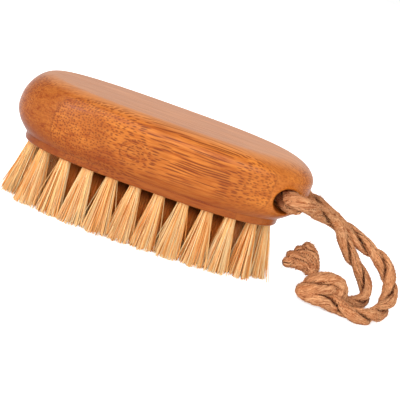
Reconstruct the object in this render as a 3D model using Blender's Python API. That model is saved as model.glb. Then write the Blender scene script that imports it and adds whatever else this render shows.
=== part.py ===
# Massage brush: a bamboo block with a stepped bristle pad, 49 stapled fibre tufts,
# and a knotted jute cord through a cross-drilled hole.
# Metres, +Z up, X along the brush with the cord hole at +X, tips of the tufts on z = 0.

import math
import random

import bmesh
import bpy
import numpy as np
from mathutils import Matrix, Vector

# Handle block, seen from above a superellipse
BLOCK_LENGTH = 0.105
BLOCK_WIDTH = 0.044
BLOCK_HEIGHT = 0.0211
PLAN_EXPONENT = 2.75
OUTLINE_POINTS = 72
TOP_ROWS = 9
TOP_RUN_PLAIN_END = 0.0100
TOP_DROP_PLAIN_END = 0.0120
TOP_RUN_CORD_END = 0.0131
TOP_DROP_CORD_END = 0.0064
TOP_RUN_SIDE = 0.0060
TOP_DROP_SIDE = 0.0057
UNDER_RISE_END = 0.0085
UNDER_RISE_SIDE = 0.0034
UNDER_INSET_SIDE = 0.0009

# Stepped pad that the tufts are set in, one piece with the block
PAD_HEIGHT = 0.0028
PAD_INSET_PLAIN_END = 0.0054
PAD_INSET_CORD_END = 0.0072
PAD_LEDGE = 0.0004
PAD_CHAMFER = 0.0006

# Cord hole, drilled across the block
BORE_DIAMETER = 0.0094
BORE_TO_END = 0.0078
BORE_FLOOR_WALL = 0.0011
BORE_SIDES = 28

# Tufts
BRISTLE_LENGTH = 0.0202
TUFT_DIAMETER = 0.0034
TUFT_TIP_DIAMETER = 0.0068
TUFT_STRANDS = 10
SOCKET_CLEARANCE = 0.0003
SOCKET_DEPTH = 0.0052
OUTER_RING_TUFTS = 24
INNER_RING_TUFTS = 18
CENTRE_ROW_TUFTS = 7
OUTER_RING_INSET = 0.0037
RING_SPACING = 0.0083
CENTRE_ROW_INSET = 0.0083
LEAN_END = 0.0030
LEAN_SIDE = 0.0012

# Staple across each tuft's fold, its two ends bitten into the bamboo
STAPLE_LENGTH = 0.0050
STAPLE_WIDTH = 0.0005
STAPLE_HEIGHT = 0.0014
STAPLE_CLEARANCE = 0.0003

# Cord
CORD_DIAMETER = 0.005
CORD_STEP = 0.0055
CORD_MEETING_GAP = 0.0003
FAR_STRAND_ROUTE = [
    (0.0465, 0.0000, 0.0309),
    (0.0465, 0.0080, 0.0308),
    (0.0470, 0.0146, 0.0304),
    (0.0510, 0.0184, 0.0297),
    (0.0557, 0.0166, 0.0288),
    (0.0582, 0.0126, 0.0285),
    (0.0620, 0.0086, 0.0275),
    (0.0661, 0.0056, 0.0263),
    (0.0703, 0.0040, 0.0252),
    (0.0738, 0.0034, 0.0239),
    (0.0770, 0.0029, 0.0226),
    (0.0806, 0.0024, 0.0212),
    (0.0847, 0.0016, 0.0196),
    (0.0880, 0.0008, 0.0174),
    (0.0900, -0.0006, 0.0150),
    (0.0915, -0.0030, 0.0120),
    (0.0919, -0.0056, 0.0088),
    (0.0908, -0.0089, 0.0059),
    (0.0880, -0.0126, 0.0036),
    (0.0840, -0.0165, 0.0027),
    (0.0798, -0.0180, 0.0027),
    (0.0766, -0.0172, 0.0028),
    (0.0742, -0.0156, 0.0030),
]
NEAR_STRAND_ROUTE = [
    (0.0465, 0.0000, 0.0309),
    (0.0465, -0.0080, 0.0310),
    (0.0468, -0.0142, 0.0316),
    (0.0488, -0.0174, 0.0326),
    (0.0515, -0.0162, 0.0327),
    (0.0542, -0.0126, 0.0317),
    (0.0575, -0.0086, 0.0302),
    (0.0615, -0.0049, 0.0288),
    (0.0646, -0.0030, 0.0274),
    (0.0673, -0.0019, 0.0255),
    (0.0695, -0.0012, 0.0232),
    (0.0720, -0.0006, 0.0203),
    (0.0749, 0.0000, 0.0174),
    (0.0777, 0.0005, 0.0149),
    (0.0806, 0.0007, 0.0125),
    (0.0828, 0.0003, 0.0100),
    (0.0843, -0.0009, 0.0074),
    (0.0845, -0.0026, 0.0050),
    (0.0826, -0.0047, 0.0033),
    (0.0800, -0.0066, 0.0028),
    (0.0770, -0.0078, 0.0032),
]

# Overhand knot in the doubled cord, its own X turned by the yaw
KNOT_CENTRE = (0.0683, -0.0126, 0.0058)
KNOT_YAW = 25.0
KNOT_CORE_SIZE = (0.0154, 0.0094, 0.0094)
KNOT_WRAP_TURNS = 1.55
KNOT_WRAP_START = -60.0
KNOT_WRAP_PITCH = 0.0044
KNOT_WRAP_RADIUS = 0.0034
KNOT_WRAP_THICKNESS = 0.0044
KNOT_GATE_RUN = 0.0025
FAR_RUN_AND_STUB = [
    (0.0704, -0.0136, 0.0044),
    (0.0664, -0.0136, 0.0048),
    (0.0626, -0.0138, 0.0044),
    (0.0583, -0.0146, 0.0040),
]
NEAR_RUN_AND_NECK = [
    (0.0722, -0.0088, 0.0046),
    (0.0687, -0.0094, 0.0056),
    (0.0656, -0.0098, 0.0064),
    (0.0636, -0.0088, 0.0078),
    (0.0628, -0.0074, 0.0089),
]

# The long end beyond the knot, its two plies untwisted and apart
TAIL_UPPER_PLY = [
    (0.0624, -0.0064, 0.0096),
    (0.0617, -0.0048, 0.0113),
    (0.0603, -0.0028, 0.0128),
    (0.0585, -0.0012, 0.0138),
    (0.0568, -0.0002, 0.0141),
]
TAIL_LOWER_PLY = [
    (0.0624, -0.0064, 0.0096),
    (0.0604, -0.0058, 0.0108),
    (0.0578, -0.0052, 0.0112),
    (0.0546, -0.0050, 0.0103),
    (0.0519, -0.0054, 0.0090),
]
TAIL_PLY_ROOT = 0.0044
TAIL_PLY_END = 0.0053

SEED = 11

PAD_FACE_Z = BRISTLE_LENGTH
BLOCK_FOOT_Z = PAD_FACE_Z + PAD_HEIGHT
PAD_HALF_LENGTH = (BLOCK_LENGTH - PAD_INSET_PLAIN_END - PAD_INSET_CORD_END) / 2
PAD_HALF_WIDTH = BLOCK_WIDTH / 2 - UNDER_INSET_SIDE - PAD_LEDGE
PAD_CENTRE_X = (PAD_INSET_PLAIN_END - PAD_INSET_CORD_END) / 2
BORE_X = BLOCK_LENGTH / 2 - BORE_TO_END
BORE_Z = PAD_FACE_Z + SOCKET_DEPTH + BORE_FLOOR_WALL + BORE_DIAMETER / 2
SOCKET_DIAMETER = TUFT_DIAMETER + 2 * SOCKET_CLEARANCE / math.cos(math.pi / TUFT_STRANDS)


def empty_the_scene():
    for thing in list(bpy.data.objects):
        bpy.data.objects.remove(thing, do_unlink=True)


def new_collection(name):
    group = bpy.data.collections.new(name)
    bpy.context.scene.collection.children.link(group)
    return group


def new_material(name, colour, roughness, metallic=0.0):
    material = bpy.data.materials.new(name)
    material.use_nodes = True
    shader = material.node_tree.nodes["Principled BSDF"]
    shader.inputs["Base Color"].default_value = (*colour, 1)
    shader.inputs["Roughness"].default_value = roughness
    shader.inputs["Metallic"].default_value = metallic
    return material


def object_from_bmesh(name, shape, group, material=None):
    mesh = bpy.data.meshes.new(name)
    bmesh.ops.recalc_face_normals(shape, faces=shape.faces)
    shape.to_mesh(mesh)
    shape.free()
    thing = bpy.data.objects.new(name, mesh)
    group.objects.link(thing)
    if material:
        mesh.materials.append(material)
    return thing


def hide_as_cutter(thing):
    thing.hide_render = True
    thing.display_type = "WIRE"


def add_boolean(thing, cutter, operation):
    step = thing.modifiers.new(operation.title(), "BOOLEAN")
    step.operation = operation
    step.solver = "EXACT"
    step.object = cutter


def superellipse(angle, half_left, half_right, half_width):
    c = math.cos(angle)
    s = math.sin(angle)
    reach = half_right if c >= 0 else half_left
    x = math.copysign(reach * abs(c) ** (2 / PLAN_EXPONENT), c)
    y = math.copysign(half_width * abs(s) ** (2 / PLAN_EXPONENT), s)
    return x, y


def even_angles(half_left, half_right, half_width, count, phase=0.0):
    # Parameter values that space points evenly along the outline
    fine = np.linspace(0, 2 * math.pi, 2881)
    line = np.array([superellipse(a, half_left, half_right, half_width) for a in fine])
    run = np.concatenate([[0], np.cumsum(np.hypot(*np.diff(line, axis=0).T))])
    wanted = (np.arange(count) + phase) / count * run[-1]
    return [float(a) for a in np.interp(wanted, run, fine)]


def under_curve(height, rise):
    # 1 at the foot of the block, easing to 0 at the given rise
    return (1 - min(height / rise, 1)) ** 2


def top_curve(height, drop):
    # 0 below the rounded top edge, growing to 1 at the top face
    t = max(0.0, (height - (BLOCK_HEIGHT - drop)) / drop)
    return 1 - math.sqrt(max(0.0, 1 - t * t))


def block_section(height):
    end_under = under_curve(height, UNDER_RISE_END)
    plain_top = TOP_RUN_PLAIN_END * top_curve(height, TOP_DROP_PLAIN_END)
    cord_top = TOP_RUN_CORD_END * top_curve(height, TOP_DROP_CORD_END)
    side_under = UNDER_INSET_SIDE * under_curve(height, UNDER_RISE_SIDE)
    side_top = TOP_RUN_SIDE * top_curve(height, TOP_DROP_SIDE)
    half_length = BLOCK_LENGTH / 2
    left = half_length - (PAD_INSET_PLAIN_END - PAD_LEDGE) * end_under - plain_top
    right = half_length - (PAD_INSET_CORD_END - PAD_LEDGE) * end_under - cord_top
    return left, right, BLOCK_WIDTH / 2 - side_under - side_top


def handle_sections():
    # From the pad's face up to the flat top: (z, left, right, half width)
    half_length = BLOCK_LENGTH / 2
    left = half_length - PAD_INSET_PLAIN_END
    right = half_length - PAD_INSET_CORD_END
    cut = PAD_CHAMFER
    sections = [
        (PAD_FACE_Z, left - cut, right - cut, PAD_HALF_WIDTH - cut),
        (PAD_FACE_Z + cut, left, right, PAD_HALF_WIDTH),
        (BLOCK_FOOT_Z, left, right, PAD_HALF_WIDTH),
    ]
    foot_steps = [UNDER_RISE_END * t for t in (0, 0.16, 0.34, 0.55, 0.78, 1)]
    top_steps = [math.sin(math.pi / 2 * t / TOP_ROWS) for t in range(TOP_ROWS + 1)]
    drop = max(TOP_DROP_PLAIN_END, TOP_DROP_CORD_END, TOP_DROP_SIDE)
    heights = foot_steps + [BLOCK_HEIGHT - drop + drop * t for t in top_steps]
    return sections + [(BLOCK_FOOT_Z + h, *block_section(h)) for h in heights]


def make_handle(group, cutters, material):
    angles = even_angles(BLOCK_LENGTH / 2, BLOCK_LENGTH / 2, BLOCK_WIDTH / 2, OUTLINE_POINTS)
    shape = bmesh.new()
    rings = []
    for z, left, right, half_width in handle_sections():
        outline = [superellipse(a, left, right, half_width) for a in angles]
        rings.append([shape.verts.new((x, y, z)) for x, y in outline])
    for lower, upper in zip(rings, rings[1:]):
        for i in range(OUTLINE_POINTS):
            j = (i + 1) % OUTLINE_POINTS
            shape.faces.new((lower[i], lower[j], upper[j], upper[i]))
    shape.faces.new(reversed(rings[0]))
    shape.faces.new(rings[-1])
    handle = object_from_bmesh("handle_block", shape, group, material)
    add_boolean(handle, make_bore_cutter(cutters), "DIFFERENCE")
    add_boolean(handle, make_socket_cutter(cutters), "DIFFERENCE")
    add_boolean(handle, make_staple_slot_cutter(cutters), "DIFFERENCE")
    handle.data.shade_smooth()
    handle.data.set_sharp_from_angle(angle=math.radians(35))
    return handle


def make_bore_cutter(cutters):
    shape = bmesh.new()
    turn = Matrix.Rotation(math.pi / 2, 4, "X")
    bmesh.ops.create_cone(
        shape, cap_ends=True, segments=BORE_SIDES, radius1=BORE_DIAMETER / 2,
        radius2=BORE_DIAMETER / 2, depth=BLOCK_WIDTH * 1.2,
        matrix=Matrix.Translation((BORE_X, 0, BORE_Z)) @ turn,
    )
    cutter = object_from_bmesh("bore_cutter", shape, cutters)
    hide_as_cutter(cutter)
    return cutter


def outward_lean(x, y, half_length, half_width, share):
    # Tips lean out square to the ring, further at the two ends than along the sides
    nx = math.copysign(abs(x / half_length) ** (PLAN_EXPONENT - 1) / half_length, x)
    ny = math.copysign(abs(y / half_width) ** (PLAN_EXPONENT - 1) / half_width, y)
    size = math.hypot(nx, ny)
    nx, ny = nx / size, ny / size
    reach = share * (LEAN_SIDE + (LEAN_END - LEAN_SIDE) * nx * nx)
    return nx * reach, ny * reach


def tuft_places():
    # One (x, y, lean x, lean y, staple angle) for each tuft
    places = []
    rings = [
        (OUTER_RING_TUFTS, OUTER_RING_INSET, 1.0),
        (INNER_RING_TUFTS, OUTER_RING_INSET + RING_SPACING, 0.5),
    ]
    for count, inset, share in rings:
        a = PAD_HALF_LENGTH - inset
        b = PAD_HALF_WIDTH - inset
        for angle in even_angles(a, a, b, count, 0.5):
            x, y = superellipse(angle, a, a, b)
            lean_x, lean_y = outward_lean(x, y, a, b, share)
            places.append((PAD_CENTRE_X + x, y, lean_x, lean_y, math.atan2(lean_y, lean_x)))
    reach = PAD_HALF_LENGTH - OUTER_RING_INSET - RING_SPACING - CENTRE_ROW_INSET
    for i in range(CENTRE_ROW_TUFTS):
        share = 2 * i / (CENTRE_ROW_TUFTS - 1) - 1
        places.append((PAD_CENTRE_X + reach * share, 0, 0.4 * LEAN_SIDE * share, 0, math.pi / 2))
    return places


def make_socket_cutter(cutters):
    shape = bmesh.new()
    sink = PAD_CHAMFER
    for x, y, _, _, angle in tuft_places():
        centre = (x, y, PAD_FACE_Z + (SOCKET_DEPTH - sink) / 2)
        bmesh.ops.create_cone(
            shape, cap_ends=True, segments=TUFT_STRANDS, radius1=SOCKET_DIAMETER / 2,
            radius2=SOCKET_DIAMETER / 2, depth=SOCKET_DEPTH + sink,
            matrix=Matrix.Translation(centre) @ Matrix.Rotation(angle, 4, "Z"),
        )
    cutter = object_from_bmesh("tuft_socket_cutter", shape, cutters)
    hide_as_cutter(cutter)
    return cutter


def staple_centre_z():
    return PAD_FACE_Z + SOCKET_DEPTH - SOCKET_CLEARANCE - STAPLE_HEIGHT / 2 - STAPLE_CLEARANCE


def make_staple_slot_cutter(cutters):
    shape = bmesh.new()
    room = 2 * STAPLE_CLEARANCE
    size = (STAPLE_LENGTH + room, STAPLE_WIDTH + room, STAPLE_HEIGHT + room, 1)
    for x, y, _, _, angle in tuft_places():
        place = Matrix.Translation((x, y, staple_centre_z()))
        turn = Matrix.Rotation(angle, 4, "Z")
        bmesh.ops.create_cube(shape, size=1, matrix=place @ turn @ Matrix.Diagonal(size))
    cutter = object_from_bmesh("staple_slot_cutter", shape, cutters)
    hide_as_cutter(cutter)
    return cutter


def make_tuft(name, place, group, material, chance):
    # A bound root in its socket, opening below the pad into separate tapered strands
    x, y, lean_x, lean_y, angle = place
    step = 2 * math.pi / TUFT_STRANDS
    radius = TUFT_DIAMETER / 2
    top_z = PAD_FACE_Z + SOCKET_DEPTH - SOCKET_CLEARANCE
    shape = bmesh.new()

    def around(centre_x, centre_y, r, turn, z):
        return shape.verts.new((centre_x + r * math.cos(turn), centre_y + r * math.sin(turn), z))

    # The same turn as the socket's own sides, which start at the middle of a facet
    start = angle + step / 2
    top = [around(x, y, radius, start + i * step, top_z) for i in range(TUFT_STRANDS)]
    rim = [around(x, y, radius, start + i * step, PAD_FACE_Z) for i in range(TUFT_STRANDS)]
    heart = shape.verts.new((x, y, PAD_FACE_Z))
    shape.faces.new(top)
    for i in range(TUFT_STRANDS):
        j = (i + 1) % TUFT_STRANDS
        shape.faces.new((rim[i], rim[j], top[j], top[i]))
        middle = start + (i + 0.5) * step
        outer = TUFT_TIP_DIAMETER / 2 * chance.uniform(0.86, 1.0)
        inner = outer * chance.uniform(0.32, 0.42)
        half = step * chance.uniform(0.27, 0.33)
        swing = step * chance.uniform(-0.1, 0.1)
        tip_x = x + lean_x
        tip_y = y + lean_y
        tips = [
            around(tip_x, tip_y, inner, middle + swing, 0),
            around(tip_x, tip_y, outer, middle + swing - half, 0),
            around(tip_x, tip_y, outer, middle + swing + half, 0),
        ]
        base = [heart, rim[i], rim[j]]
        for k in range(3):
            m = (k + 1) % 3
            shape.faces.new((base[k], base[m], tips[m], tips[k]))
        shape.faces.new(tips)
    tuft = object_from_bmesh(name, shape, group, material)
    return tuft


def add_staple(tuft, place, cutters):
    # The flat staple is one with the tuft that it holds
    x, y, _, _, angle = place
    size = (STAPLE_LENGTH, STAPLE_WIDTH, STAPLE_HEIGHT, 1)
    shape = bmesh.new()
    turn = Matrix.Rotation(angle, 4, "Z")
    place = Matrix.Translation((x, y, staple_centre_z()))
    bmesh.ops.create_cube(shape, size=1, matrix=place @ turn @ Matrix.Diagonal(size))
    staple = object_from_bmesh(tuft.name + "_staple", shape, cutters)
    hide_as_cutter(staple)
    add_boolean(tuft, staple, "UNION")


def make_tufts(group, cutters, material):
    chance = random.Random(SEED)
    for number, place in enumerate(tuft_places(), 1):
        tuft = make_tuft(f"tuft_{number:02d}", place, group, material, chance)
        add_staple(tuft, place, cutters)


def smooth_route(points, step):
    # Catmull-Rom curve through the points, read off at even steps
    pts = [Vector(p) for p in points]
    pts = [2 * pts[0] - pts[1]] + pts + [2 * pts[-1] - pts[-2]]
    fine = []
    for a, b, c, d in zip(pts, pts[1:], pts[2:], pts[3:]):
        for k in range(24):
            t = k / 24
            fine.append(
                0.5 * (2 * b + (c - a) * t + (2 * a - 5 * b + 4 * c - d) * t**2
                       + (3 * b - a - 3 * c + d) * t**3)
            )
    fine.append(pts[-2])
    line = np.array([tuple(p) for p in fine])
    run = np.concatenate([[0], np.cumsum(np.linalg.norm(np.diff(line, axis=0), axis=1))])
    count = max(2, round(run[-1] / step) + 1)
    at = np.linspace(0, run[-1], count)
    return np.stack([np.interp(at, run, line[:, k]) for k in range(3)], axis=1), run[-1]


def make_tube(name, points, radii, group, material, resolution=3):
    curve = bpy.data.curves.new(name, "CURVE")
    curve.dimensions = "3D"
    curve.bevel_depth = 1.0
    curve.bevel_resolution = resolution
    curve.use_fill_caps = True
    spline = curve.splines.new("POLY")
    spline.points.add(len(points) - 1)
    for point, place, radius in zip(spline.points, points, radii):
        point.co = (*place, 1)
        point.radius = radius
    spline.use_smooth = True
    thing = bpy.data.objects.new(name, curve)
    group.objects.link(thing)
    if material:
        curve.materials.append(material)
    return thing


def tube_as_mesh(tube, group, material=None):
    # A plain mesh of the tube, its end caps welded on
    bpy.context.view_layer.update()
    mesh = bpy.data.meshes.new_from_object(tube.evaluated_get(bpy.context.evaluated_depsgraph_get()))
    shape = bmesh.new()
    shape.from_mesh(mesh)
    bmesh.ops.remove_doubles(shape, verts=shape.verts, dist=0.00001)
    name = tube.name
    curve = tube.data
    bpy.data.objects.remove(tube, do_unlink=True)
    bpy.data.curves.remove(curve)
    bpy.data.meshes.remove(mesh)
    return object_from_bmesh(name, shape, group, material)


def make_strand(name, route, side, group, material):
    # From half the meeting gap off the middle of the bore to the knot
    points = [Vector(p) for p in route]
    points[0] = points[0] + Vector((0, side * CORD_MEETING_GAP / 2, 0))
    line, length = smooth_route(points, CORD_STEP)
    line[0][[0, 2]] = line[1][[0, 2]]
    end, into = knot_gate(route)
    line[-1] = end
    line[-2] = end - into * CORD_STEP
    make_tube(name, line, [CORD_DIAMETER / 2] * len(line), group, material, 4)
    return length


def knot_gate(route):
    # Where a strand ends, and the direction that it runs into the knot
    end = Vector(route[-1])
    return end, (end - Vector(route[-2])).normalized()


def square_end(line, route):
    # The last point but one, moved so that the end is square to its route
    end = Vector(route[-1])
    along = (end - Vector(route[-2])).normalized()
    return end - along * (Vector(line[-1]) - Vector(line[-2])).length


def join_tubes(thing, tubes, cutters):
    # Each tube is (label, points, radii), fused with the object
    for label, points, radii in tubes:
        tube = make_tube(thing.name + "_" + label, points, radii, cutters, None, 3)
        part = tube_as_mesh(tube, cutters)
        hide_as_cutter(part)
        add_boolean(thing, part, "UNION")


def make_knot(group, cutters, material):
    # Two runs through a core, a wrap round them, one short end
    shape = bmesh.new()
    place = Matrix.Translation(KNOT_CENTRE) @ Matrix.Rotation(math.radians(KNOT_YAW), 4, "Z")
    size = Matrix.Diagonal((*KNOT_CORE_SIZE, 1))
    bmesh.ops.create_uvsphere(
        shape, u_segments=16, v_segments=10, radius=0.5, matrix=place @ size,
    )
    knot = object_from_bmesh("cord_knot", shape, group, material)
    count = round(KNOT_WRAP_TURNS * 12) + 1
    wrap = []
    for i in range(count):
        share = i / (count - 1)
        angle = math.radians(KNOT_WRAP_START) + 2 * math.pi * KNOT_WRAP_TURNS * share
        x = (share - 0.5) * KNOT_WRAP_TURNS * KNOT_WRAP_PITCH
        y = KNOT_WRAP_RADIUS * math.cos(angle)
        z = KNOT_WRAP_RADIUS * math.sin(angle)
        wrap.append(place @ Vector((x, y, z)))
    tubes = [("wrap", wrap, [KNOT_WRAP_THICKNESS / 2] * count)]
    runs = [
        ("far_run", FAR_STRAND_ROUTE, FAR_RUN_AND_STUB),
        ("near_run", NEAR_STRAND_ROUTE, NEAR_RUN_AND_NECK),
    ]
    for label, strand, inside in runs:
        end, into = knot_gate(strand)
        gate = end + into * CORD_MEETING_GAP
        line, _ = smooth_route([gate, gate + into * KNOT_GATE_RUN, *inside], CORD_DIAMETER * 0.7)
        line[0] = gate
        line[1] = gate + into * KNOT_GATE_RUN
        line[-2] = square_end(line, inside)
        tubes.append((label, line, [CORD_DIAMETER / 2] * len(line)))
    join_tubes(knot, tubes, cutters)
    return knot


def make_tail(group, cutters, material):
    # The upper ply carries the lower one, and both start square to the knot's neck
    before, neck = (Vector(p) for p in NEAR_RUN_AND_NECK[-2:])
    along = (neck - before).normalized()
    root = neck + along * CORD_MEETING_GAP
    plies = []
    for ply in (TAIL_UPPER_PLY, TAIL_LOWER_PLY):
        line, _ = smooth_route([root, *ply], CORD_DIAMETER / 2)
        line[1] = root + along * CORD_DIAMETER / 2
        line[0] = root
        radii = np.linspace(TAIL_PLY_ROOT / 2, TAIL_PLY_END / 2, len(line))
        plies.append((line, list(radii)))
    tail = tube_as_mesh(make_tube("cord_tail", *plies[0], group, None, 3), group, material)
    join_tubes(tail, [("lower_ply", *plies[1])], cutters)
    return tail


def main():
    empty_the_scene()
    group = new_collection("massage_brush")
    cutters = new_collection("cutters")
    bamboo = new_material("bamboo", (0.52, 0.22, 0.07), 0.45)
    fibre = new_material("plant_fibre", (0.72, 0.50, 0.22), 0.65)
    jute = new_material("jute", (0.36, 0.19, 0.10), 0.85)
    make_handle(group, cutters, bamboo)
    make_tufts(group, cutters, fibre)
    far = make_strand("cord_far_strand", FAR_STRAND_ROUTE, 1, group, jute)
    near = make_strand("cord_near_strand", NEAR_STRAND_ROUTE, -1, group, jute)
    make_knot(group, cutters, jute)
    make_tail(group, cutters, jute)
    print(f"far strand {far * 1000:.1f} mm, near strand {near * 1000:.1f} mm")


main()
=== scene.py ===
# Massage brush: bamboo block, stapled plant-fibre tufts and a knotted jute cord.
# Metres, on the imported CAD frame: bristle tips on z = 0, cord hole at +X.

import math
import random
from functools import partial, reduce

import bpy
import numpy as np
from mathutils import Matrix, Vector


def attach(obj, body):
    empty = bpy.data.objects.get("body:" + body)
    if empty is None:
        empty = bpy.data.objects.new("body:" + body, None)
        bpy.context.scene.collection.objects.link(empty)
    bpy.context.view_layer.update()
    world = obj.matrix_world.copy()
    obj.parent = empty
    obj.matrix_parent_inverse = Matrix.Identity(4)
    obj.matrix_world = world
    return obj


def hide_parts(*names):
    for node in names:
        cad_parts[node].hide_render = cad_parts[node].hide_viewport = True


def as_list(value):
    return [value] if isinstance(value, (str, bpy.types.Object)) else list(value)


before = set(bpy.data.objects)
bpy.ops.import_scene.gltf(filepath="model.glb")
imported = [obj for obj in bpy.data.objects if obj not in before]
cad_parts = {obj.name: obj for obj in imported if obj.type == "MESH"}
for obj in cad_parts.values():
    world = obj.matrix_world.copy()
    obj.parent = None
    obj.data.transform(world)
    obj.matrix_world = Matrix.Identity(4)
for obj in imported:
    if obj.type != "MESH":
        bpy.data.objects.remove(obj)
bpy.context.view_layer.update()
scene = bpy.context.scene
mm = 0.001


class Wiring:
    # Short calls for adding and joining the nodes of one tree
    def __init__(self, tree):
        self.tree = tree
        sums = [partial(self.fromLeft, name) for name in ("ADD", "SUBTRACT", "MULTIPLY", "DIVIDE")]
        self.add, self.less, self.times, self.over = sums
        self.sums = self.math, *sums

    def put(self, kind, inputs=None, **named):
        # Names in small letters are settings, which can change the sockets and so come first
        row, column = divmod(len(self.tree.nodes), 12)
        item = self.tree.nodes.new(kind)
        item.location = (column * 190, row * -260)
        for key in filter(str.islower, named):
            setattr(item, key, named[key])
        for key, value in {**(inputs or {}), **named}.items():
            if not str(key).islower():
                self.feed(item.inputs[key], value)
        return item

    def shape(self, kind, inputs=None, **named):
        return self.put("GeometryNode" + kind, inputs, **named).outputs[0]

    def feed(self, socket, value):
        if isinstance(value, bpy.types.NodeSocket):
            self.tree.links.new(value, socket)
        else:
            socket.default_value = value

    def math(self, operation, *values, clamp=False):
        inputs = dict(enumerate(values))
        return self.put("ShaderNodeMath", inputs, operation=operation, use_clamp=clamp).outputs[0]

    def fromLeft(self, operation, *values):
        return reduce(partial(self.math, operation), values)

    def vector(self, operation, *values, **named):
        inputs = dict(enumerate(values))
        return self.put("ShaderNodeVectorMath", inputs, operation=operation, **named).outputs[0]

    def combine(self, x, y, z):
        return self.put("ShaderNodeCombineXYZ", {0: x, 1: y, 2: z}).outputs[0]

    def separate(self, value):
        return self.put("ShaderNodeSeparateXYZ", {0: value}).outputs

    def scaled(self, value, low, high, newLow=0, newHigh=1, smooth=False):
        item = self.put("ShaderNodeMapRange", {0: value, 1: low, 2: high, 3: newLow, 4: newHigh})
        item.interpolation_type = "SMOOTHSTEP" if smooth else "LINEAR"
        return item.outputs[0]

    def mix(self, share, a, b):
        return self.put("ShaderNodeMix", {0: share, 6: a, 7: b}, data_type="RGBA").outputs[2]

    def layered(self, colour, palette, layers):
        # Named colours laid over the first one, each by its share
        for share, name in layers:
            colour = self.mix(share, colour, palette[name])
        return colour

    def noise(self, place, stretch, detail, roughness=0.5, distortion=0):
        inputs = {"Detail": detail, "Roughness": roughness, "Distortion": distortion, "Scale": 1}
        stretched = self.vector("MULTIPLY", place, stretch)
        return self.put("ShaderNodeTexNoise", inputs, Vector=stretched).outputs[0]

    def drawn(self, low, high, **named):
        # A random number for every element of a Geometry Nodes tree
        named.update(Min=low, Max=high, data_type="FLOAT")
        return self.put("FunctionNodeRandomValue", **named).outputs["Value"]

    def stored(self, name, output="Fac"):
        return self.put("ShaderNodeAttribute", attribute_name=name).outputs[output]

    def inMillimetres(self):
        return self.vector("SCALE", self.put("ShaderNodeTexCoord").outputs["Object"], Scale=1000)


def addSockets(tree, side, **kinds):
    for kind, labels in kinds.items():
        for label in labels:
            tree.interface.new_socket(label, in_out=side, socket_type="NodeSocket" + kind)


def labelOf(key):
    # halfLength in a dictionary is Half length on a socket
    return "".join(" " + c.lower() if c.isupper() else c for c in key).capitalize()


def numbersOf(settings, keys):
    return {labelOf(key): float(settings[key]) for key in keys}


def geometryTree(name, start, **kinds):
    # A Geometry Nodes tree that takes geometry, named inputs and a material
    tree = bpy.data.node_groups.new(name, "GeometryNodeTree")
    addSockets(tree, "INPUT", Geometry=[start], Material=["Material"], **kinds)
    addSockets(tree, "OUTPUT", Geometry=["Geometry"])
    wires = Wiring(tree)
    return wires, wires.put("NodeGroupInput").outputs


def closeTree(wires, made, given):
    # Every tree ends in real geometry with its material on
    real = wires.shape("RealizeInstances", {0: made})
    dressed = wires.shape("SetMaterial", Geometry=real, Material=given["Material"])
    wires.put("NodeGroupOutput", {0: dressed})
    return wires.tree


def stand(name, data):
    thing = bpy.data.objects.new(name, data)
    scene.collection.objects.link(thing)
    return thing


def grow(name, tree, values, start=None):
    # Runs a tree on a mesh and keeps the plain mesh that comes out
    holder = stand(name, start or bpy.data.meshes.new(name + "Start"))
    step = holder.modifiers.new("nodes", "NODES")
    step.node_group = tree
    for label, value in values.items():
        step[tree.interface.items_tree[label].identifier] = value
    bpy.context.view_layer.update()
    made = bpy.data.meshes.new_from_object(holder.evaluated_get(bpy.context.evaluated_depsgraph_get()))
    holder.modifiers.clear()
    holder.data = made
    made.name = name
    return holder


def addPiece(thing, material, replaced=()):
    # A finished object becomes a piece that rides on the brush
    thing.data.materials.clear()
    thing.data.materials.append(material)
    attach(thing, "root")
    if replaced:
        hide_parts(*replaced)
    return thing


def newMaterial(name, finish):
    material = bpy.data.materials.new(name)
    material.use_nodes = True
    shader = material.node_tree.nodes["Principled BSDF"]
    for label, value in finish.items():
        shader.inputs[label].default_value = value
    return material, Wiring(material.node_tree), shader


# Camera, at the photograph's place: a long lens, rolled, a little above the brush
camera = {
    "azimuth": -3.303,
    "elevation": 14.299,
    "roll": 20.215,
    "distance": 0.4,
    "lens": 103.03,
    "aimHeight": 25 * mm,
    "aimRight": 14.404 * mm,
    "aimUp": -12 * mm,
}


def makeCamera():
    az, el, roll = (math.radians(camera[k]) for k in ("azimuth", "elevation", "roll"))
    forward = Vector((-math.sin(az) * math.cos(el), math.cos(az) * math.cos(el), -math.sin(el)))
    level = Vector((math.cos(az), math.sin(az), 0))
    up = level.cross(forward)
    right = level * math.cos(roll) + up * math.sin(roll)
    top = up * math.cos(roll) - level * math.sin(roll)
    aim = Vector((0, 0, camera["aimHeight"])) + right * camera["aimRight"] + top * camera["aimUp"]
    data = bpy.data.cameras.new("camera")
    data.lens = camera["lens"]
    data.sensor_width = 36
    data.clip_start = 0.01
    data.clip_end = 20
    thing = stand("camera", data)
    turn = Matrix((right, top, -forward)).transposed().to_4x4()
    thing.matrix_world = Matrix.Translation(aim - forward * camera["distance"]) @ turn
    scene.camera = thing


makeCamera()
print("camera set")

# Light: a broad soft box high on the left, one low on the right, a small one for shine, a pale room
light = {
    "room": 0.68,
    "aimHeight": 0.02,
    # Size, power and place
    "keyLight": (0.9, 5.6, (-0.5, -1, 0.8)),
    "fillLight": (1, 8.4, (0.35, -1.25, 0.28)),
    "shineLight": (0.3, 3.2, (-0.62, -1, 0.1)),
    "floor": {"Base Color": (0.86, 0.86, 0.86, 1), "Roughness": 0.9, "Specular IOR Level": 0.1},
    "floorSize": 6,
    "floorGlow": 0.75,
}


def addLamp(name):
    data = bpy.data.lights.new(name, "AREA")
    data.size, data.energy, place = light[name]
    thing = stand(name, data)
    thing.location = place
    aim = Vector((0, 0, light["aimHeight"])) - Vector(place)
    thing.rotation_euler = aim.to_track_quat("-Z", "Y").to_euler()


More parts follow.
